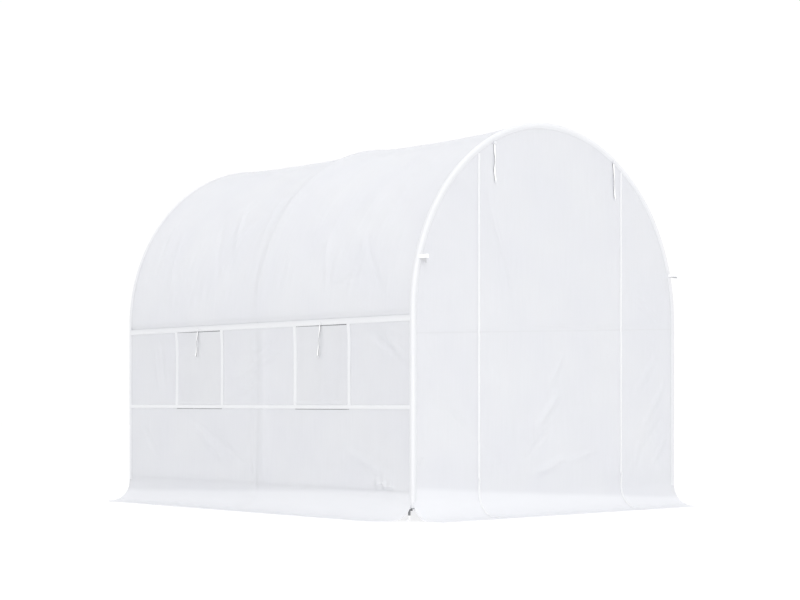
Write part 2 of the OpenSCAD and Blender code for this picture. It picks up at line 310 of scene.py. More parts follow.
def make_solid(name, low, high, mark, roughness, weave=None, coordinate="UV"):
    """Opaque finish of two close tones, in marks of the size given, with a weave or a grain."""
    made, tree, out = new_material(name)
    place = add(tree, "TexCoord").outputs[coordinate]
    marks = pattern(tree, place, mark, 3.0)
    height = plain_weave(tree, place, weave) if weave else marks
    opaque(tree, out, between(tree, marks, low, high), roughness,
           {"Normal": bumps(tree, height, 0.35, 0.0004)})
    return made


def make_ribbon():
    """Polyester ribbon: bright white twill, with painted shade as a dark line along one edge."""
    made, tree, out = new_material("polyester_ribbon")
    flat = add(tree, "TexCoord").outputs["UV"]
    across = add(tree, "SeparateXYZ", {"Vector": flat}).outputs["X"]
    weave = pattern(tree, flat, (0.0012, 0.0022, 1))
    white = between(tree, weave, "F4F4F5", "FFFFFF")
    # Painted shade: a dark line along one edge of the ribbon.
    shade_edge = add(tree, "MapRange", {"Value": across, "From Min": 0.0018, "From Max": 0.0021}).outputs[0]
    opaque(tree, out, blend(tree, shade_edge, linear("3C3E42"), white), 0.55,
           {"Normal": bumps(tree, weave, 0.3, 0.0003)})
    return made


def make_light_table():
    """Opal acrylic sheet, lit from below to an even white."""
    made, tree, out = new_material("opal_acrylic")
    place = add(tree, "TexCoord").outputs["Object"]
    tone = between(tree, pattern(tree, place, (0.6, 0.6, 1)), "969696", "9A9A9A")
    opaque(tree, out, tone, 0.95, {"Emission Color": linear("FFFFFF"), "Emission Strength": 0.70})
    return made


# What a cloth lets through, scattered and straight, its thread spacing and its streaks.
POLYETHYLENE = (0.12, 0.19, 0.005, (0.007, 0.22))
POLYPROPYLENE = (0.12, 0.0, 0.003, (0.003, 0.03))

# Cover: woven from polyethylene tapes 2.5 mm wide and coated, so that it is a cool white,
# glows a little, and shows fine upright streaks. The weave is drawn 5 mm wide to show.
COVER = woven_cloth("woven_polyethylene", "E9EAED", "E7E8EB", *POLYETHYLENE)
# Side walls: the same cloth in a darker tone, painted shade for the dimmer light on the upright walls.
SHADED_WALL_COVER = woven_cloth("woven_polyethylene_wall_shaded", "E6E7EA", "E4E5E8", *POLYETHYLENE)
# Ground flaps: the same cloth in the walls' darker painted-shade tone, painted lighter from where it turns
# out over the ground, as painted light on its upturned face.
FLAPS = woven_cloth("woven_polyethylene_flap", "E6E7EA", "E4E5E8", *POLYETHYLENE,
                    shade=(0.225, 0.203, "ECEDF0", -0.033))
# End sheets: the cover's cloth again, whose lowest part is a ground flap, painted lighter where it turns out
# over the ground as painted light on its upturned face. A faint line at half height is a painted shadow of
# the side bars behind it.
END_COVER = woven_cloth("woven_polyethylene_end", "E9EAED", "E7E8EB", *POLYETHYLENE,
                        shade=(0.221, 0.199, "EFF0F3", -0.060), line=(0.955 + RISE, 0.004, "E4E5E8", 0.037))
# Windows: smooth polyethylene film over the mesh, a little greyer and without streaks.
WINDOW = woven_cloth("polyethylene_film", "E8E9EC", "E7E8EB", 0.15, 0.12, 0.005, (0.05, 0.2), gloss=0.38)
# Tapes: woven polypropylene, dense and plain white, with painted shade that darkens the top tape towards its
# upper edge, under the roof's fold.
TAPE = woven_cloth("woven_polypropylene_tape", "EEEFF1", "EAEBED", *POLYPROPYLENE,
                   shade=(SEAM + RISE - TOP_TAPE_W / 2 + 0.006, SEAM + RISE + TOP_TAPE_W / 2, "E2E3E6", 0))
# Bindings: the same tape, with a painted highlight along a line just in from the corner and darker away from
# it; the front binding's right leg and the whole rear binding take the darker tone as painted shade.
BINDING = woven_cloth("woven_polypropylene_binding", "F0F1F3", "ECEDEF", *POLYPROPYLENE,
                      shade=(0.002, 0.011, "E7E8EB", 0))
# Zip tape: knitted polyester, a plain white close to the cover's.
ZIP_TAPE = woven_cloth("knitted_polyester_zip_tape", "EFF0F2", "EBECEE", *POLYPROPYLENE)
RIBBON = make_ribbon()
STEEL = make_galvanised_steel()
# Insect mesh: knitted polyethylene threads, grey at a distance.
MESH = make_solid("knitted_insect_mesh", "C4C7CA", "D8DADC", (0.002, 0.002, 1), 0.7, weave=0.002)
# Hook tape: nylon, a matt mid grey. Its strips that show above each window flap and below the low tape stand
# in for the shadow lines in those gaps, as painted shadow.
SHADOW_HOOK_TAPE = make_solid("nylon_hook_tape_as_shadow", "5E6064", "787A7E", (0.0015, 0.0015, 1), 0.9, weave=0.002)
# Webbing: thick flat polypropylene weave, white.
WEBBING = make_solid("polypropylene_webbing", "F2F2F3", "FFFFFF", (0.002, 0.006, 1), 0.7, weave=0.003)
# Folded webbing: the same strap painted a soft grey, as painted shade for its unlit inner face.
SHADED_WEBBING = make_solid("folded_polypropylene_webbing_in_shade", "B9BABD", "C6C7CA", (0.002, 0.006, 1), 0.8,
                           weave=0.003)
# Zip teeth: moulded acetal, bright and slightly glossy.
TEETH = make_solid("moulded_acetal", "EEEEF0", "F6F6F7", (0.01,) * 3, 0.35, coordinate="Object")
# Slider: die-cast zinc alloy under white enamel.
ENAMEL = make_solid("white_enamelled_zinc", "E4E5E7", "F2F2F3", (0.004,) * 3, 0.3, coordinate="Object")
# Thread: white polyester.
THREAD = make_solid("polyester_thread", "DADBDE", "ECEDEF", (0.001,) * 3, 0.7, coordinate="Object")
# Floor: the opal acrylic sheet of a light table, pale and lit evenly from below.
FLOOR = make_light_table()


# ---- shape of the cloth

OUTWARDS = {"left": (-1, 0), "right": (1, 0), "front": (0, -1), "rear": (0, 1)}

# Folds in the cloth, in millimetres: t and height up the wall of the start and of the end, width, depth.
FOLDS = {
    "left": [(260, 690, -280, 870, 16, 4.2), (160, 800, -200, 920, 14, -3.3), (240, 600, -60, 700, 12, 3.3),
             (930, 970, 870, 600, 14, -4.5), (990, 900, 940, 640, 12, 3.3),
             (-860, 970, -1150, 800, 20, -4.5), (-920, 990, -1200, 900, 14, 3.3),
             (-720, 340, -1100, 200, 20, 3.3), (620, 480, 300, 240, 22, 3), (1150, 500, 920, 220, 20, -3.3),
             (700, 520, -20, 200, 10, -2), (-1030, 920, -1210, 770, 14, 4)],
    "front": [(-200, 175, 130, 300, 22, 10), (-140, 430, 70, 650, 22, 8.4), (-220, 280, 0, 460, 16, -5.6),
              (100, 260, 360, 330, 18, 5.6), (-60, 620, 100, 860, 16, 5.2),
              (-480, 1620, -360, 1300, 14, -4.8), (600, 1200, 900, 1000, 16, 4.8),
              (660, 620, 860, 860, 14, 6), (720, 420, 950, 740, 14, 6.8), (700, 300, 920, 520, 12, -5.2),
              (800, 220, 970, 440, 12, 6), (-970, 250, -920, 310, 10, -6),
              (-420, 1440, -300, 1080, 12, 3.6), (-900, 640, -430, 310, 12, -3.6),
              (-1000, 900, -300, 950, 10, -2.6), (-450, 975, 990, 985, 10, -2.6),
              (600, 160, 720, 380, 14, 5)],
    "right": [(-300, 660, 260, 840, 18, 4.5), (-950, 940, -860, 580, 14, 3.9),
              (880, 960, 1120, 780, 18, -4.2), (300, 440, 620, 220, 20, 3.6)],
    "rear": [(-600, 300, -200, 620, 20, 5.4), (200, 240, 660, 500, 18, 4.8),
             (-200, 1100, 300, 1280, 20, -4.5), (480, 1380, 660, 1080, 16, 4.2),
             (-880, 400, -720, 860, 16, 4.5)],
}
# Creases at the base seam, which the seam doesn't hold flat, in the same terms.
CREASES = {
    "left": [(14, -50, 14, 360, 7, -3.4), (-85, 60, -85, 220, 6, -2), (-950, 178, -1120, 160, 9, 9),
             (-1000, 145, -970, 210, 8, 9), (-1050, 145, -1020, 220, 8, 10),
             (-1090, 145, -1070, 200, 8, 8)],
    "right": [(14, -50, 14, 360, 8, -3)],
}
# Folds in the roof cloth: y and degrees round the arch of the start and of the end, width, depth.
ROOF_FOLDS = [(500, 46, 270, 18, 16, 6), (620, 40, 400, 14, 18, -5.4), (160, 52, 60, 14, 14, 4.5),
              (950, 36, 840, 8, 16, 4.5), (1100, 42, 1000, 10, 14, -3.9), (-460, 30, -600, 2, 14, 4.4),
              (-780, 26, -1050, 2, 16, -5.6), (-860, 13, -560, 7, 16, -4.2), (380, 24, 240, 38, 16, 4.4),
              (400, 136, 220, 164, 18, 5.1), (-520, 130, -660, 168, 18, 4.5),
              (920, 140, 1040, 170, 16, 4.5)]
# How much tighter each ground flap bends towards its far end, at the middle of its bend.
TIGHTER = {"left": 0.012, "front": 0.0, "right": 0.010, "rear": 0.0}


def waves(a, b, seed, size_a, size_b, count=8):
    """Seeded unevenness, mostly from -1 to 1, whose swells have these sizes along the axes."""
    draw = np.random.RandomState(seed)
    total = np.zeros(np.broadcast(a, b).shape)
    for _ in range(count):
        heading, phase = draw.uniform(0, 2 * math.pi), draw.uniform(0, 2 * math.pi)
        turns = draw.uniform(0.7, 1.5) * (np.cos(heading) * a / size_a + np.sin(heading) * b / size_b)
        total += np.sin(2 * math.pi * turns + phase)
    return total / math.sqrt(count)


def fold(a, b, line, b_unit=MM):
    """A soft fold along a line of the tables above, which dies away at its ends."""
    a0, b0, a1, b1, width, height = np.array(line) * (MM, b_unit, MM, b_unit, MM, MM)
    run, climb = a1 - a0, b1 - b0
    length = math.hypot(run, climb)
    along = ((a - a0) * run + (b - b0) * climb) / length ** 2
    away = ((a - a0) * climb - (b - b0) * run) / length
    return height * np.clip(4 * along * (1 - along), 0, 1) * np.exp(-(away / width) ** 2)


def ease(value, start, stop):
    """0 at start, 1 at stop, and smooth between them."""
    share = np.clip((value - start) / (stop - start), 0, 1)
    return share * share * (3 - 2 * share)


def between_hoops(y):
    """0 at each hoop and 1 halfway between two."""
    share = np.clip(np.abs(y) / BAY, 0, 1)
    return 4 * share * (1 - share)


def relief(side, t, s):
    """How far the cloth of a wall stands out of its flat face."""
    height = s - RISE
    lift = sum(fold(t, height, line) for line in FOLDS[side])
    seed = 11 * (1 + list(OUTWARDS).index(side))
    rim = ease(s, -0.01, 0.05) * (1 - ease(s, 0.02, FLAT + 0.08))
    ripples = 0.0022 * rim * np.maximum(1 + waves(t, s, seed, 0.34, 3.0), 0)
    turn = np.clip((s - FLAT) / FLARE_R, 0, math.pi / 2)
    near_foot = np.exp(-(t / 0.06) ** 2) + np.exp(-((END - t) / 0.08) ** 2)
    bend = TIGHTER[side] * ease(t, -0.40, 0.30) * (1 - near_foot) * np.sin(2 * turn) ** 1.5
    crease = sum(fold(t, height, line) for line in CREASES.get(side, ()))
    loose = ripples - bend + crease
    if side in ("left", "right"):
        hold = ease(height, BASE, BASE + 0.12) * (1 - ease(height, SEAM - 0.10, SEAM))
        ends = 1 - ease(np.abs(t), END - 0.07, END - 0.02)
        slack = -0.006 * between_hoops(t) - 0.0010
        leg = 0.0058 * np.exp(-((t + 0.053) / 0.030) ** 2) + 0.0022 * np.exp(-((t - 0.025) / 0.017) ** 2)
        uneven = 0.0010 * waves(t, s, seed + 1, 0.20, 0.34) + 0.0004 * waves(t, s, seed + 2, 0.035, 0.30)
        return (lift + slack + leg + uneven * (0.3 + 0.7 * between_hoops(t))) * hold * ends + loose
    radius = np.where(height > SPRING, np.hypot(t, height - SPRING), np.abs(t))
    hold = ease(height, BASE, BASE + 0.10) * (1 - ease(radius, SIDE - 0.11, SIDE - 0.03))
    uneven = 0.0006 * waves(t, s, seed + 1, 0.34, 0.50) + 0.0003 * waves(t, s, seed + 2, 0.04, 0.30)
    return (lift + uneven - 0.001) * hold + loose


def lie(side, t, s, off=0.0):
    """Points on one side of the cover, at t and s, and off outwards from the cloth's face."""
    turn = np.clip((s - FLAT) / FLARE_R, 0, math.pi / 2)
    lift = relief(side, t, s) + off
    out = REACH - np.minimum(s, FLAT) - FLARE_R * np.sin(turn) + np.sin(turn) * lift
    edge = CAD_SHEET - (CAD_SHEET - SHEET) * (1 - ease(s, 0, FLAT))
    up = edge + FLARE_R * (1 - np.cos(turn)) + np.maximum(s - STRAIGHT, 0) + np.cos(turn) * lift
    x, y = OUTWARDS[side]
    reach = (SIDE if x else END_FACE) + out
    return np.stack([x * reach + abs(y) * t, y * reach + abs(x) * t, up], axis=-1)


def roof_relief(angle, y):
    """How far the roof cloth stands out of a round tunnel; angle 0 is the left wall's top."""
    from_crown = np.abs(angle - math.pi / 2)
    off_ridge = 1 - np.exp(-(from_crown / math.radians(8.1)) ** 2)
    held_by_sides = 1 - ease(from_crown, math.radians(50), math.radians(88))
    slack = np.where(y < 0, 0.020, 0.026)
    sag = -slack * between_hoops(y) * off_ridge * held_by_sides
    over_tube = 0.0078 * np.exp(-(y / 0.030) ** 2)
    ends = 1 - ease(np.abs(y), END - 0.06, END - 0.02)
    inside = ease(from_crown, math.radians(91), math.radians(80))
    low = 1 - ease(angle, math.radians(12), math.radians(45))
    uneven = 0.0016 * waves(angle, y, 71, 0.30, 0.26)
    uneven += (0.0005 + 0.0007 * low) * waves(angle, y, 72, 0.40, 0.05)
    lift = sum(fold(y, angle, line, math.radians(1)) for line in ROOF_FOLDS)
    loose = (uneven * (0.25 + 0.75 * between_hoops(y)) + lift) * (0.2 + 0.8 * off_ridge)
    return (sag + over_tube + loose) * ends * inside


def swell(angle):
    """How far the front hoop bulges out of round, left of its crown."""
    return 0.009 * np.exp(-((angle - math.radians(80)) / math.radians(24)) ** 2)


def over_roof(y, a, off=0.0):
    """Points on the roof: y along the tunnel and a round it, from the left wall's seam."""
    leg = SPRING - SEAM
    angle = np.clip((a - leg) / SIDE, 0, math.pi)
    below = np.maximum(leg - a, 0) + np.maximum(a - leg - math.pi * SIDE, 0)
    tucked = -0.0044 * np.exp(-((a - TUCK) / 0.012) ** 2)
    radius = SIDE + roof_relief(angle, y) + swell(angle) * ease(-y, 0, END) + tucked + off
    return np.stack([-radius * np.cos(angle), y, SPRING + radius * np.sin(angle) - below], axis=-1)


# ---- mesh making

def new_object(name, points, faces):
    """A mesh object in the scene from points and faces."""
    mesh = bpy.data.meshes.new(name)
    mesh.from_pydata(np.asarray(points).tolist(), [], np.asarray(faces).tolist())
    mesh.validate()
    obj = bpy.data.objects.new(name, mesh)
    show(obj)
    return obj


def only(*chosen):
    """Selects these objects alone and makes the first one active."""
    bpy.ops.object.select_all(action="DESELECT")
    for obj in chosen:
        obj.select_set(True)
    bpy.context.view_layer.objects.active = chosen[0]


def edit_all():
    bpy.ops.object.mode_set(mode="EDIT")
    bpy.ops.mesh.select_all(action="SELECT")


def leave_edit():
    bpy.ops.object.mode_set(mode="OBJECT")


def bevel_all(offset, segments):
    """Rounds all edges of the object being edited, and leaves edit mode."""
    bpy.ops.mesh.select_all(action="SELECT")
    bpy.ops.mesh.bevel(offset=offset, segments=segments)
    leave_edit()


def apply_place():
    bpy.ops.object.transform_apply()


def smooth(obj, degrees=35):
    only(obj)
    bpy.ops.object.shade_smooth_by_angle(angle=math.radians(degrees))


def give_uv(obj, flat):
    """Writes the flat place of each point, in metres, as the piece's UV map."""
    corners = np.empty(len(obj.data.loops), int)
    obj.data.loops.foreach_get("vertex_index", corners)
    layer = obj.data.uv_layers.new(name="UVMap")
    layer.data.foreach_set("uv", np.asarray(flat)[corners].ravel())


def cloth(name, t, s, points, outwards, thick, skip=None):
    """Closed sheet over a grid of points, its second face thick behind the first.

    t and s are the flat places of the points, and skip marks the grid's cells that are cut out.
    """
    rows, columns = t.shape
    index = np.arange(rows * columns).reshape(rows, columns)
    quads = np.stack([index[:-1, :-1], index[1:, :-1], index[1:, 1:], index[:-1, 1:]], axis=-1).reshape(-1, 4)
    if skip is not None:
        quads = quads[~skip((t[:-1, :-1] + t[1:, 1:]) / 2, (s[:-1, :-1] + s[1:, 1:]) / 2).ravel()]
    points = points.reshape(-1, 3)
    corner = points[quads]
    facing = np.cross(corner[:, 2] - corner[:, 0], corner[:, 3] - corner[:, 1]).sum(0)
    if facing @ np.array(outwards) < 0:
        quads = quads[:, ::-1]
    used, quads = np.unique(quads, return_inverse=True)
    obj = new_object(name, points[used], quads.reshape(-1, 4))
    give_uv(obj, np.stack([t.ravel(), s.ravel()], axis=-1)[used])
    shell = obj.modifiers.new("thickness", "SOLIDIFY")
    shell.thickness = thick
    shell.offset = -1
    only(obj)
    bpy.ops.object.modifier_apply(modifier=shell.name)
    smooth(obj)
    return obj


def grid(first, second):
    """The two flat places of a grid's points."""
    return np.meshgrid(first, second, indexing="ij")


def steps(start, stop, size, *through):
    """Grid lines from start to stop, about size apart, with one at each place in through."""
    marks = sorted([start, stop, *through])
    parts = [np.linspace(a, b, max(2, round((b - a) / size) + 1))[:-1] for a, b in zip(marks, marks[1:])]
    return np.append(np.concatenate(parts), stop)


def piece(obj, material, slot, *nodes):
    """Gives a finished object its finish and its body; it stands for the CAD nodes named."""
    obj.data.materials.clear()
    obj.data.materials.append(material)
    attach(obj, "root")
    if nodes:
        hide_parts(*nodes)
    return obj


def side_cloth(name, side, t, s, off=0.0, thick=SHEET, skip=None):
    """Closed sheet that lies off one side of the cover."""
    return cloth(name, t, s, lie(side, t, s, off), (*OUTWARDS[side], 0), thick, skip)


# ---- ties

# Routes of the ties, in millimetres sideways and down from the middle of the tab's lower face.
DOOR_TIE_LEFT = [(0, 0), (0, 14), (1, 30), (3, 48), (5, 66), (5, 84), (3, 102), (1, 120), (1, 138),
                 (3, 156), (6, 172), (9, 186)]
DOOR_TIE_RIGHT = [(0, 0), (0, 14), (2, 30), (4, 48), (5, 66), (5, 84), (6, 102), (8, 120), (8, 138),
                  (8, 156), (10, 172), (13, 188)]
REAR_TIE = [(0, 0), (0, 14), (3, 30), (8, 46), (10, 62), (9, 78), (9, 94), (11, 110), (14, 125), (17, 140)]
FRONT_TIE = [(0, 0), (0, 14), (3, 30), (7, 46), (9, 62), (10, 78), (10, 94), (11, 110), (14, 126),
             (16, 142), (14, 158)]


def smooth_line(points, parts=5):
    """A curve through the points, with some more points between each two."""
    line = []
    ends = [2 * points[0] - points[1], *points, 2 * points[-1] - points[-2]]
    for before, start, stop, after in zip(ends, ends[1:], ends[2:], ends[3:]):
        for share in np.arange(parts) / parts:
            line.append(0.5 * (2 * start + (stop - before) * share
                               + (2 * before - 5 * start + 4 * stop - after) * share ** 2
                               + (3 * start - before - 3 * stop + after) * share ** 3))
    return np.array(line + [points[-1]])


def make_tie(node, y, sideways, route, turns):
    """One ribbon hanging from its tab at y, turning a little as it hangs, with a knot at its end."""
    name = node + "_ribbon"
    low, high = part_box(node)
    start = ((low.x + high.x) / 2, y, high.z)
    sideways = np.array(sideways, float)
    outwards = np.array([sideways[1] * np.sign(start[0]), -sideways[0], 0.0])
    points = [np.array(start) + side * MM * sideways - np.array([0, 0, down * MM]) for side, down in route]
    line = smooth_line(points)
    length = float(np.linalg.norm(np.diff(line, axis=0), axis=1).sum())
    run = np.linspace(0, 1, len(line))
    twist = math.radians(turns[0]) + math.radians(turns[1]) * np.sin(2 * math.pi * (run * turns[2] + 0.1))
    across = np.cos(twist)[:, None] * sideways + np.sin(twist)[:, None] * outwards
    half = RIBBON_W / 2 * (1 - 0.15 * np.sin(math.pi * run * 3) ** 2)[:, None]
    edges = np.stack([line - half * across, line, line + half * across])
    t, s = grid(RIBBON_W * np.array([0, 0.5, 1]), run * length)
    tie = cloth(name, t, s, edges, outwards, RIBBON_T)
    piece(tie, RIBBON, "ribbon", node)
    knot = make_knot(name + "_knot", line[-1])
    return tie


def make_knot(name, place):
    """A small flat overhand knot with a short cut end below it."""
    bpy.ops.mesh.primitive_torus_add(major_segments=20, minor_segments=8, major_radius=0.0030,
                                     minor_radius=0.0022, location=place,
                                     rotation=(math.radians(62), 0, math.radians(20)))
    knot = bpy.context.object
    edit_all()
    bpy.ops.transform.resize(value=(1.0, 0.9, 1.15), center_override=place)
    bpy.ops.mesh.primitive_cube_add(size=1, scale=(0.007, 0.0014, 0.010),
                                    location=(place[0], place[1], place[2] - 0.006))
    bpy.ops.mesh.bevel(offset=0.0005, segments=2)
    bpy.ops.mesh.select_all(action="SELECT")
    bpy.ops.mesh.normals_make_consistent()
    leave_edit()
    knot.name = knot.data.name = name
    apply_place()
    smooth(knot)
    return piece(knot, TAPE, "ribbon")


def make_ties():
    forward = -END_FACE - 0.0055
    make_tie("left_door_tie", forward, (1, 0, 0), DOOR_TIE_LEFT, (12, 30, 1.4))
    make_tie("right_door_tie", forward, (1, 0, 0), DOOR_TIE_RIGHT, (8, 28, 1.2))
    for side in ("left", "right"):
        make_tie(f"{side}_front_window_tie", -WINDOW_Y, (0, 1, 0), FRONT_TIE, (-10, 22, 1.3))
        make_tie(f"{side}_rear_window_tie", WINDOW_Y, (0, 1, 0), REAR_TIE, (-10, 22, 1.3))


# ---- cover sheets

def upward(height):
    """s of a place on the upright cloth."""
    return height + RISE


def make_roof():
    length = 2 * (SPRING - SEAM) + math.pi * SIDE
    y, a = grid(steps(-END, END, 0.014, 0), steps(0, length, 0.0145))
    roof = cloth("roof_cloth", y, a, over_roof(y, a), (0, 0, 1), SHEET)
    piece(roof, COVER, "woven_cover", "roof_cover")


def make_wall(side):
    low, high = upward(MESH_LOW.z + WINDOW_LAP / 2), upward(MESH_HIGH.z - WINDOW_LAP / 2)
    half = FLAP_W / 2 - WINDOW_LAP
    holes = [(y - half, y + half) for y in (-WINDOW_Y, WINDOW_Y)]
    along = steps(-END, END, CELL, 0, *[edge for hole in holes for edge in hole])
    t, s = grid(along, steps(upward(BASE), upward(SEAM), CELL, low, high))

    def in_hole(t, s):
        return (s > low) & (s < high) & np.any([(t > start) & (t < stop) for start, stop in holes], axis=0)

    wall = side_cloth(f"{side}_wall_cloth", side, t, s, skip=in_hole)
    piece(wall, SHADED_WALL_COVER, "woven_cover", f"{side}_wall")


def arch_top(x):
    """Height of the arch's outer line over a place across the tunnel."""
    return SPRING + np.sqrt(np.maximum(SIDE ** 2 - x * x, 0))


def arch_area(x0, x1):
    """Area under the arch and over its spring line, between two places across the tunnel."""
    def half(x):
        return (x * math.sqrt(max(SIDE ** 2 - x * x, 0)) + SIDE ** 2 * math.asin(x / SIDE)) / 2
    return half(x1) - half(x0)


def make_end_sheet(name, node, side, x0, x1, start):
    """End sheet from x0 to x1, from start along s up to the arch. Its grid widens with the arch."""
    turns = np.linspace(math.asin(x0 / SIDE), math.asin(x1 / SIDE), max(24, round((x1 - x0) / END_CELL)))
    across = SIDE * np.sin(turns)
    across[0], across[-1] = x0, x1
    top = upward(arch_top(np.clip(0, x0, x1)))
    fixed = upward(BASE)
    t, b = grid(across, steps(start, top, END_CELL, fixed))
    share = np.clip((b - fixed) / (top - fixed), 0, 1)
    s = np.where(b > fixed, fixed + share * (upward(arch_top(t)) - fixed), b)
    if name == "front_left_cloth":
        t = rounded(side, t, s, x0)
    made = side_cloth(name, side, t, s)
    piece(made, END_COVER, "woven_cover", node)
    (x1 - x0) * (upward(SPRING) - start) + arch_area(x0, x1)


def make_end_sheets():
    make_end_sheet("front_left_cloth", "front_left_panel", "front", -SIDE, DOOR_LOW.x - 0.001, 0)
    make_end_sheet("door_cloth", "door_sheet", "front", DOOR_LOW.x, DOOR_HIGH.x, 0)
    make_end_sheet("front_right_cloth", "front_right_panel", "front", DOOR_HIGH.x + 0.001, SIDE, 0)
    make_end_sheet("rear_wall_cloth", "rear_wall", "rear", -SIDE, SIDE, upward(BASE))


def rounded(side, t, s, start):
    """t with a flap's end at start cut round towards the flap's edge."""
    along, across = CORNER[side]
    rest = np.clip(1 - s / across, 0, 1)
    return t + along * (1 - np.sqrt(1 - rest ** 2)) * np.clip(1 - (t - start) / 0.35, 0, 1)


def make_ground_flap(side, half):
    t, s = grid(steps(-half, half, CELL, 0), steps(0, upward(BASE), 0.009, FLAT, STRAIGHT))
    if side == "left":
        t = rounded(side, t, s, -half)
    flap = side_cloth(f"{side}_flap_cloth", side, t, s)
    piece(flap, FLAPS, "woven_cover", f"{side}_ground_flap")


# ---- tapes, bindings and windows

def full_middle(share):
    """0 at a share of 0 or 1, and rising roundly to 1 between them."""
    return np.sqrt(np.clip(4 * share * (1 - share), 0, 1))


def crowned(values, height):
    """Height of a strip that is fuller in the middle than at its edges."""
    return height * full_middle((values - values.min()) / (values.max() - values.min()))


def make_tapes(side):
    """The two long tapes, the windows' side tapes and the tabs of a side wall, as one piece."""
    parts = []
    for name, middle, width in (("top", SEAM, TOP_TAPE_W), ("low", LOW_TAPE_Z, LOW_TAPE_W)):
        t, s = grid(steps(-TAPE_HIGH.y, TAPE_HIGH.y, TAPE_CELL),
                    upward(middle) + width * np.array([-0.5, -0.44, -0.2, 0.2, 0.44, 0.5]))
        off = STRIP_OFF + crowned(s, 0.0012)
        points = lie(side, t, s, off)
        on_roof = np.stack([OUTWARDS[side][0] * (SIDE + off), t, s - RISE], axis=-1)
        points = np.where((s > upward(SEAM))[..., None], on_roof, points)
        parts.append(cloth(f"{side}_{name}_tape", t, s, points, (*OUTWARDS[side], 0), STRIP))
    low, high = upward(LOW_TAPE_Z + LOW_TAPE_W / 2) - 0.002, upward(SEAM - TOP_TAPE_W / 2) + 0.002
    for y in (-WINDOW_Y, WINDOW_Y):
        for edge in (-1, 1):
            middle = y + edge * (FLAP_W / 2 + 0.0003 + SIDE_TAPE_W / 2)
            t, s = grid(middle + SIDE_TAPE_W * np.array([-0.5, -0.42, -0.15, 0.15, 0.42, 0.5]),
                        steps(low, high, TAPE_CELL))
            parts.append(side_cloth("side_tape", side, t, s, STRIP_OFF + crowned(t, 0.0010), STRIP))
        parts.append(make_tab(side, y))
    tapes = join(parts, f"{side}_tapes")
    piece(tapes, TAPE, "seam_tape", f"{side}_wall_tapes")


def join(parts, name):
    """Joins objects into the first one."""
    only(*parts)
    bpy.ops.object.join()
    parts[0].name = parts[0].data.name = name
    return parts[0]


def make_tab(side, y=0.0, x=0.0, height=0.0):
    """Folded ribbon tab that a tie hangs from: three layers stitched flat."""
    width, depth, tall = 0.014, 0.013, 0.014
    if side == "front":
        centre, size = (x, -END_FACE - 0.002 - depth / 2, height + tall / 2), (width, depth, tall)
    else:
        out = OUTWARDS[side][0]
        centre, size = (out * (SIDE + depth / 2), y, SEAM - TOP_TAPE_W / 2 + tall / 2), (depth, width, tall)
    bpy.ops.mesh.primitive_cube_add(size=1, location=centre, scale=size)
    tab = bpy.context.object
    apply_place()
    edit_all()
    bpy.ops.mesh.subdivide(number_cuts=2)
    bpy.ops.transform.tosphere(value=0.22)
    bevel_all(0.0008, 1)
    give_uv(tab, np.array([(v.co.y + v.co.x, v.co.z) for v in tab.data.vertices]))
    smooth(tab, 50)
    return tab


def on_binding(end, p, u, off=0.0):
    """Points on an end hoop's binding, whose section is puffed round the corner of the cover.

    p runs along it, and u across it in metres from the corner: back over the cover below 0,
    and in over the end sheet above 0.
    """
    legs = SPRING - BINDING_FOOT[end]
    angle = np.clip((p - legs) / SIDE, 0, math.pi)
    below = np.maximum(legs - p, 0) + np.maximum(p - legs - math.pi * SIDE, 0)
    reach = BINDING_ROUND * math.pi / 4
    turned = np.clip((u + reach) / BINDING_ROUND, 0, math.pi / 2)
    share = np.where(u > 0, u / BINDING_FACE, u / BINDING_SIDE)
    thin = 1 - 0.9 * ease(angle, math.radians(95), math.radians(150)) if end == "front" else 0.4
    full = BINDING_ROUND + BINDING_FULL * thin * (1 - share ** 2) + 0.0004 + off
    radius = SIDE - BINDING_ROUND + (swell(angle) if end == "front" else 0)
    radial = radius + full * np.cos(turned) - np.maximum(u - reach, 0)
    forward = END_FACE - BINDING_ROUND + full * np.sin(turned) - np.maximum(-reach - u, 0)
    up = SPRING + radial * np.sin(angle) - below
    return np.stack([-radial * np.cos(angle), OUTWARDS[end][1] * forward, up], axis=-1)


def make_binding(end):
    """Strip folded over the edge of an end hoop's cloth, from near the ground up and over."""
    legs = SPRING - BINDING_FOOT[end]
    length = 2 * legs + math.pi * SIDE
    p, u = grid(steps(0, length, 0.022, legs, legs + math.pi * SIDE),
                steps(-BINDING_SIDE, BINDING_FACE, 0.0025, 0))
    # Painted shade: this moves the front binding's right leg and the whole rear binding into the darker tone.
    shade_shift = 0.012 * (ease(p, length - legs - 0.35, length - legs + 0.10) if end == "front" else 1)
    strip = cloth(f"{end}_binding_strip", p, np.abs(u - BINDING_HIGHLIGHT) + shade_shift, on_binding(end, p, u),
                  (*OUTWARDS[end], 0), 0.0012)
    parts = [strip]
    if end == "front":
        for node in ("left_door_tie", "right_door_tie"):
            low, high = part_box(node)
            parts.append(make_tab("front", x=(low.x + high.x) / 2, height=high.z))
    made = join(parts, f"{end}_binding_strip")
    piece(made, BINDING, "seam_tape", f"{end}_binding")
    along = np.arange(0.01, length - 0.01, STITCH_PITCH)
    row = stitch_row(along, BINDING_FACE * 0.86, (-0.0002, 0.0007))
    stitches = blocks(f"{end}_binding_stitches", 0.8, *row, partial(on_binding, end))
    piece(stitches, THREAD, "seam_tape")


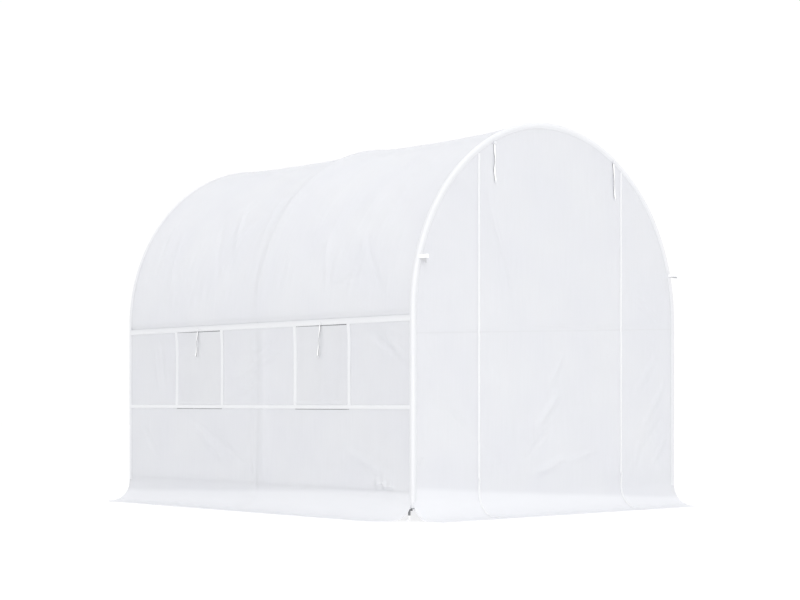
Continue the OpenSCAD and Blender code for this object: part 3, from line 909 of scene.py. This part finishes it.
def make_window(side, end):
    """The closed flap with its full lower hem, the mesh behind it, and the hook tapes that hold it, whose
    dark strips above the flap and below the low tape are painted shadow lines.
    """
    y = -WINDOW_Y if end == "front" else WINDOW_Y
    name = f"{side}_{end}_window"
    low, high = upward(FLAP_LOW.z), upward(FLAP_HIGH.z)
    t, share = grid(steps(y - FLAP_W / 2, y + FLAP_W / 2, 0.010),
                    np.append(np.linspace(0, HEM_H / (high - low), 7), np.linspace(0.06, 1, 40)))
    droop = 0.0016 + 0.0026 * np.clip(0.5 - (t - y) / FLAP_W, 0, 1)
    s = low + share * (high - droop - low)
    hem = 0.0014 * full_middle(np.clip((s - low) / HEM_H, 0, 1))
    off = STRIP_OFF + hem + 0.0004 * waves(t, s, 91, 0.16, 0.4)
    flap = side_cloth(name + "_flap_film", side, t, s, off, STRIP)
    piece(flap, WINDOW, "window_flap", name + "_flap")
    half = (MESH_HIGH.y - MESH_LOW.y) / 2
    t, s = grid(steps(y - half, y + half, TAPE_CELL),
                steps(upward(MESH_LOW.z), upward(MESH_HIGH.z), TAPE_CELL))
    net = side_cloth(name + "_net", side, t, s, -SHEET - 0.0004, 0.0008)
    piece(net, MESH, "insect_mesh", name + "_mesh")
    # Painted shadow: the dark hook tape strips above the flap and below the low tape stand in for the shadow
    # lines in those gaps.
    for place, middle, reach in (("top", high, FLAP_W / 2),
                                 ("low", upward(TAPE_LOW.z) + HOOKS_H / 2 - 0.0028, FLAP_W / 2 + 0.012)):
        t, s = grid(steps(y - reach, y + reach, TAPE_CELL), middle + HOOKS_H * np.linspace(-0.5, 0.5, 5))
        shadow_hooks = side_cloth(f"{name}_{place}_hooks", side, t, s, 0.0004, 0.0004)
        piece(shadow_hooks, SHADOW_HOOK_TAPE, "seam_tape")


# ---- door zips

def blocks(name, ends, t_range, s_range, off_range, place):
    """Many small six-sided blocks, joined as one mesh.

    Ranges are (n, 2) arrays, ends is the size of a block's outer face as a share of its
    inner one, and place gives the points for places t and s at a height off.
    """
    corner = np.arange(8)
    t, s, off = t_range[:, corner & 1], s_range[:, corner >> 1 & 1], off_range[:, corner >> 2]
    shrink = np.where(off == off.max(), ends, 1.0)
    t = t.mean(1, keepdims=True) + (t - t.mean(1, keepdims=True)) * shrink
    s = s.mean(1, keepdims=True) + (s - s.mean(1, keepdims=True)) * shrink
    points = place(t, s, off).reshape(-1, 3)
    faces = np.array([(0, 2, 3, 1), (4, 5, 7, 6), (0, 1, 5, 4), (2, 6, 7, 3), (0, 4, 6, 2), (1, 3, 7, 5)])
    every = (faces[None] + 8 * np.arange(len(t_range))[:, None, None]).reshape(-1, 4)
    made = new_object(name, points, every)
    only(made)
    edit_all()
    bpy.ops.mesh.normals_make_consistent()
    leave_edit()
    return made


def make_zip(side_name, x):
    """Zip tape down the sheet and over the ground flap, its teeth, and its slider."""
    low, high = REACH - (-ZIP_LOW.y - END_FACE), upward(ZIP_HIGH.z) + 0.004
    t, s = grid(x + ZIP_W * np.array([-0.5, -0.45, -0.25, -0.1, 0.1, 0.25, 0.45, 0.5]),
                steps(low, high, CELL, FLAT, STRAIGHT))
    tape = side_cloth(f"{side_name}_zip_tape", "front", t, s, 0.0012 + crowned(t, 0.0006), STRIP)
    piece(tape, ZIP_TAPE, "zip", f"{side_name}_zip")
    first = np.arange(low + 0.004, high - 0.012, TOOTH_PITCH)
    rows = []
    for edge in (-1, 1):
        start = first + (TOOTH_PITCH / 2 if edge > 0 else 0)
        span = sorted([x + edge * 0.0031, x - edge * 0.0006])
        rows.append((np.tile(span, (len(start), 1)), np.stack([start, start + TOOTH], axis=1)))
    t_range, s_range = (np.concatenate(each) for each in zip(*rows))
    off_range = np.tile([0.0010, 0.0030], (len(t_range), 1))
    teeth = blocks(f"{side_name}_zip_teeth", 0.72, t_range, s_range, off_range, partial(lie, "front"))
    piece(teeth, TEETH, "zip")
    piece(make_slider(f"{side_name}_zip_slider", x), ENAMEL, "zip")


def select_facing(obj, axis):
    """Selects the faces that look down the axis."""
    for facet in bmesh.from_edit_mesh(obj.data).faces:
        facet.select = facet.normal[axis] < -0.5
    bmesh.update_edit_mesh(obj.data)


def make_slider(name, x):
    """Zip slider: a waisted body, a raised bridge and a pull tab."""
    face = -END_FACE - 0.002
    bpy.ops.mesh.primitive_cube_add(size=1, location=(x, face - 0.0018, SLIDER_Z),
                                    scale=(0.0105, 0.0036, 0.015))
    body = bpy.context.object
    apply_place()
    bpy.ops.object.mode_set(mode="EDIT")
    bpy.ops.mesh.select_mode(type="FACE")
    select_facing(body, 2)
    bpy.ops.transform.resize(value=(0.62, 1, 1))
    select_facing(body, 1)
    bpy.ops.mesh.inset(thickness=0.0024)
    bpy.ops.mesh.extrude_region_move(TRANSFORM_OT_translate={"value": (0, -0.0012, 0)})
    bevel_all(0.0005, 2)
    bpy.ops.mesh.primitive_cylinder_add(vertices=24, radius=0.0034, depth=0.0012,
                                        location=(x, face - 0.0046, SLIDER_Z - 0.001),
                                        rotation=(math.radians(90), 0, 0))
    pull = bpy.context.object
    apply_place()
    bpy.ops.object.mode_set(mode="EDIT")
    mesh = bmesh.from_edit_mesh(pull.data)
    for vertex in mesh.verts:
        vertex.select = vertex.co.z < SLIDER_Z - 0.0015
    mesh.select_flush(True)
    bmesh.update_edit_mesh(pull.data)
    bpy.ops.transform.translate(value=(0, 0, -0.0125))
    bevel_all(0.0003, 1)
    slider = join([body, pull], name)
    smooth(slider)
    return slider


# ---- guy loops

def make_guy_loop(side):
    """Webbing loop for a guy line: a strap on edge, out from the binding and back, and its folded tail,
    painted grey as the shade under the strap.
    """
    low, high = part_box(f"{side}_guy_loop")
    nose = (high.x - low.x) / 2
    reach = high.y - low.y - nose
    middle = (low.x + high.x) / 2
    bottom = high.z - STRAP_W
    bend = np.linspace(math.pi / 2, -math.pi / 2, 15)
    straight = np.linspace(0.0004, reach, 8)
    line = np.array([(out, nose) for out in straight]
                    + [(reach + nose * math.cos(a), nose * math.sin(a)) for a in bend[1:-1]]
                    + [(out, -nose) for out in straight[::-1]])
    run = np.append(0, np.cumsum(np.linalg.norm(np.diff(line, axis=0), axis=1)))
    w, p = grid(STRAP_W * np.array([0, 0.04, 0.3, 0.7, 0.96, 1]), run)
    out, beside = np.interp(p, run, line[:, 0]), np.interp(p, run, line[:, 1])
    points = np.stack([middle + beside, high.y - out, bottom + w], axis=-1)
    loop = cloth(f"{side}_guy_webbing", w, p, points, (0, -1, 0), STRAP_T)
    piece(loop, WEBBING, "webbing", f"{side}_guy_loop")
    # Painted shade: the tail is a grey sheet standing in for the shade under the strap.
    x = OUTWARDS[side][0]
    fall = bottom - low.z
    out, share = grid(np.linspace(0.003, reach, 12), np.linspace(0, 1, 8))
    down = share * (TAIL_LAP + fall * out / reach)
    across = middle + x * (nose - STRAP_T / 2) + 0 * out
    points = np.stack([across, high.y - out, bottom + TAIL_LAP - down], axis=-1)
    tail = cloth(f"{side}_guy_tail", out, down, points, (x, 0, 0), STRAP_T)
    piece(tail, SHADED_WEBBING, "webbing")


# ---- stitching

def stitch_row(t, s, off):
    """Ranges of one row of stitches along t or s, whichever is an array."""
    half, count = STITCH_W / 2, np.size(t) * np.size(s)
    ranges = [np.stack([place, place + STITCH], 1) if np.ndim(place)
              else np.tile([place - half, place + half], (count, 1)) for place in (t, s)]
    return *ranges, np.tile(off, (count, 1))


def make_wall_stitches(side):
    """Rows of stitches that hold the tapes of a wall, as one mesh."""
    height = (0.0018, 0.0031)
    along = np.arange(-TAPE_HIGH.y + 0.006, TAPE_HIGH.y - 0.01, STITCH_PITCH)
    rows = []
    for middle, width in ((SEAM, TOP_TAPE_W), (LOW_TAPE_Z, LOW_TAPE_W)):
        for edge in (-1, 1):
            rows.append(stitch_row(along, upward(middle) + edge * (width / 2 - 0.004), height))
    up = np.arange(upward(FLAP_LOW.z) + 0.004, upward(FLAP_HIGH.z) - 0.008, STITCH_PITCH)
    for y in (-WINDOW_Y, WINDOW_Y):
        for edge in (-1, 1):
            for share in (0.2, 0.8):
                middle = y + edge * (FLAP_W / 2 + SIDE_TAPE_W * share)
                rows.append(stitch_row(middle, up, height))
    ranges = [np.concatenate(each) for each in zip(*rows)]
    made = blocks(f"{side}_tape_stitches", 0.8, *ranges, partial(lie, side))
    piece(made, THREAD, "seam_tape")


# ---- the whole greenhouse

make_camera()
make_ties()
make_studio()
make_roof()
make_end_sheets()
for wall in ("left", "right"):
    make_wall(wall)
    make_ground_flap(wall, END)
    make_tapes(wall)
    make_wall_stitches(wall)
    make_guy_loop(wall)
    for window_end in ("front", "rear"):
        make_window(wall, window_end)
make_ground_flap("rear", SIDE)
make_binding("front")
make_binding("rear")
make_zip("left", -ZIP_X)
make_zip("right", ZIP_X)
for node_name, node_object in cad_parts.items():
    if not node_object.hide_render:
        for held in node_object.material_slots:
            held.material = STEEL
